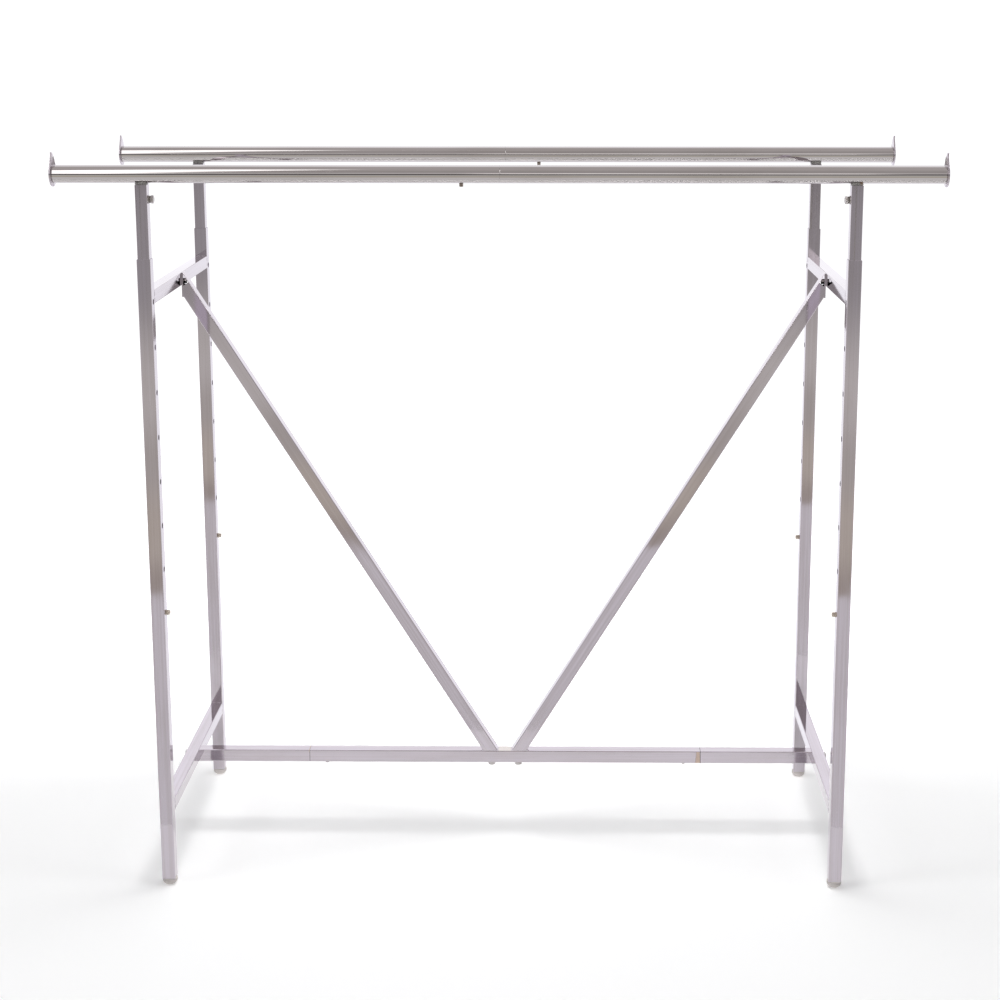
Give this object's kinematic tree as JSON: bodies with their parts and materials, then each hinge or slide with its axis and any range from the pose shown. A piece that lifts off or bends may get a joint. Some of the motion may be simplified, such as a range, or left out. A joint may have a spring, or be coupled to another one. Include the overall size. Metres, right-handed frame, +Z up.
{
  "type": "double-rail garment rack",
  "caption": "Chrome garment rack: round hang rails on height-adjustable square posts, end frames with crossbars, a bolted base rail and braces that form a V.",
  "frame": {"origin": "on the floor, in the middle of the rack's footprint", "axes": "+X along the hang rails, +Y from the front rail to the rear rail, +Z up"},
  "size_m": [1.6206, 0.5794, 1.4187],
  "materials": {
    "upright_chrome": "bright chrome plate on square tube",
    "post_chrome": "bright chrome plate with light sliding wear",
    "crossbar_chrome": "bright chrome plate",
    "base_chrome": "bright chrome plate, rubbed at the joints",
    "brace_chrome": "bright chrome plate",
    "rail_chrome": "mirror chrome plate on round tube",
    "end_stop_chrome": "chrome plate on pressed steel",
    "plain_steel": "plain mill steel",
    "spring_steel": "blued spring steel",
    "fastener_zinc": "bright zinc plate",
    "button_nickel": "nickel plate",
    "glide_plastic": "translucent grey plastic"
  },
  "bodies": {
    "frame": {"base_centre_tube": "base_chrome", "base_left_stub": "base_chrome", "left_upper_crossbar": "crossbar_chrome", "left_lower_crossbar": "crossbar_chrome", "left_brace": "brace_chrome", "front_left_upright": "upright_chrome", "front_left_glide": "glide_plastic", "rear_left_upright": "upright_chrome", "rear_left_glide": "glide_plastic", "base_right_stub": "base_chrome", "right_upper_crossbar": "crossbar_chrome", "right_lower_crossbar": "crossbar_chrome", "right_brace": "brace_chrome", "front_right_upright": "upright_chrome", "front_right_glide": "glide_plastic", "rear_right_upright": "upright_chrome", "rear_right_glide": "glide_plastic", "base_joint_inserts": "plain_steel", "base_joint_screws": "fastener_zinc", "base_end_plugs": "plain_steel", "base_end_bolts": "fastener_zinc", "brace_end_plates": "brace_chrome", "brace_foot_plates": "brace_chrome", "brace_top_bolts": "fastener_zinc", "brace_top_nuts": "fastener_zinc", "brace_foot_bolts": "fastener_zinc", "brace_foot_nuts": "fastener_zinc"},
    "front_rail": {"front_rail_sleeve": "plain_steel", "front_rail_sleeve_screw": "fastener_zinc", "front_clamp_bolts": "fastener_zinc", "front_clamp_nuts": "fastener_zinc", "front_left_rail_half": "rail_chrome", "front_left_end_stop": "end_stop_chrome", "front_left_rail_spigot": "plain_steel", "front_left_inner_post": "post_chrome", "front_left_button_spring": "spring_steel", "front_right_rail_half": "rail_chrome", "front_right_end_stop": "end_stop_chrome", "front_right_rail_spigot": "plain_steel", "front_right_inner_post": "post_chrome", "front_right_button_spring": "spring_steel"},
    "rear_rail": {"rear_rail_sleeve": "plain_steel", "rear_rail_sleeve_screw": "fastener_zinc", "rear_clamp_bolts": "fastener_zinc", "rear_clamp_nuts": "fastener_zinc", "rear_left_rail_half": "rail_chrome", "rear_left_end_stop": "end_stop_chrome", "rear_left_rail_spigot": "plain_steel", "rear_left_inner_post": "post_chrome", "rear_left_button_spring": "spring_steel", "rear_right_rail_half": "rail_chrome", "rear_right_end_stop": "end_stop_chrome", "rear_right_rail_spigot": "plain_steel", "rear_right_inner_post": "post_chrome", "rear_right_button_spring": "spring_steel"},
    "front_left_button": {"front_left_snap_button": "button_nickel"},
    "front_right_button": {"front_right_snap_button": "button_nickel"},
    "rear_left_button": {"rear_left_snap_button": "button_nickel"},
    "rear_right_button": {"rear_right_snap_button": "button_nickel"}
  },
  "joints": [
    {"name": "front_rail_height", "type": "slide", "parent": "frame", "child": "front_rail", "axis": [0, 0, 1], "range_m": [0, 0.5943], "deforming": ["front_left_snap_button", "front_right_snap_button"]},
    {"name": "rear_rail_height", "type": "slide", "parent": "frame", "child": "rear_rail", "axis": [0, 0, 1], "range_m": [0, 0.5943], "deforming": ["rear_left_snap_button", "rear_right_snap_button"]},
    {"name": "front_left_button_press", "type": "slide", "parent": "front_rail", "child": "front_left_button", "axis": [-1, 0, 0], "range_m": [0, 0.0099], "stiffness_N_per_m": 500, "springref_m": -0.003, "deforming": ["front_left_button_spring"]},
    {"name": "front_right_button_press", "type": "slide", "parent": "front_rail", "child": "front_right_button", "axis": [1, 0, 0], "range_m": [0, 0.0099], "stiffness_N_per_m": 500, "springref_m": -0.003, "deforming": ["front_right_button_spring"]},
    {"name": "rear_left_button_press", "type": "slide", "parent": "rear_rail", "child": "rear_left_button", "axis": [-1, 0, 0], "range_m": [0, 0.0099], "stiffness_N_per_m": 500, "springref_m": -0.003, "deforming": ["rear_left_button_spring"]},
    {"name": "rear_right_button_press", "type": "slide", "parent": "rear_rail", "child": "rear_right_button", "axis": [1, 0, 0], "range_m": [0, 0.0099], "stiffness_N_per_m": 500, "springref_m": -0.003, "deforming": ["rear_right_button_spring"]}
  ]
}
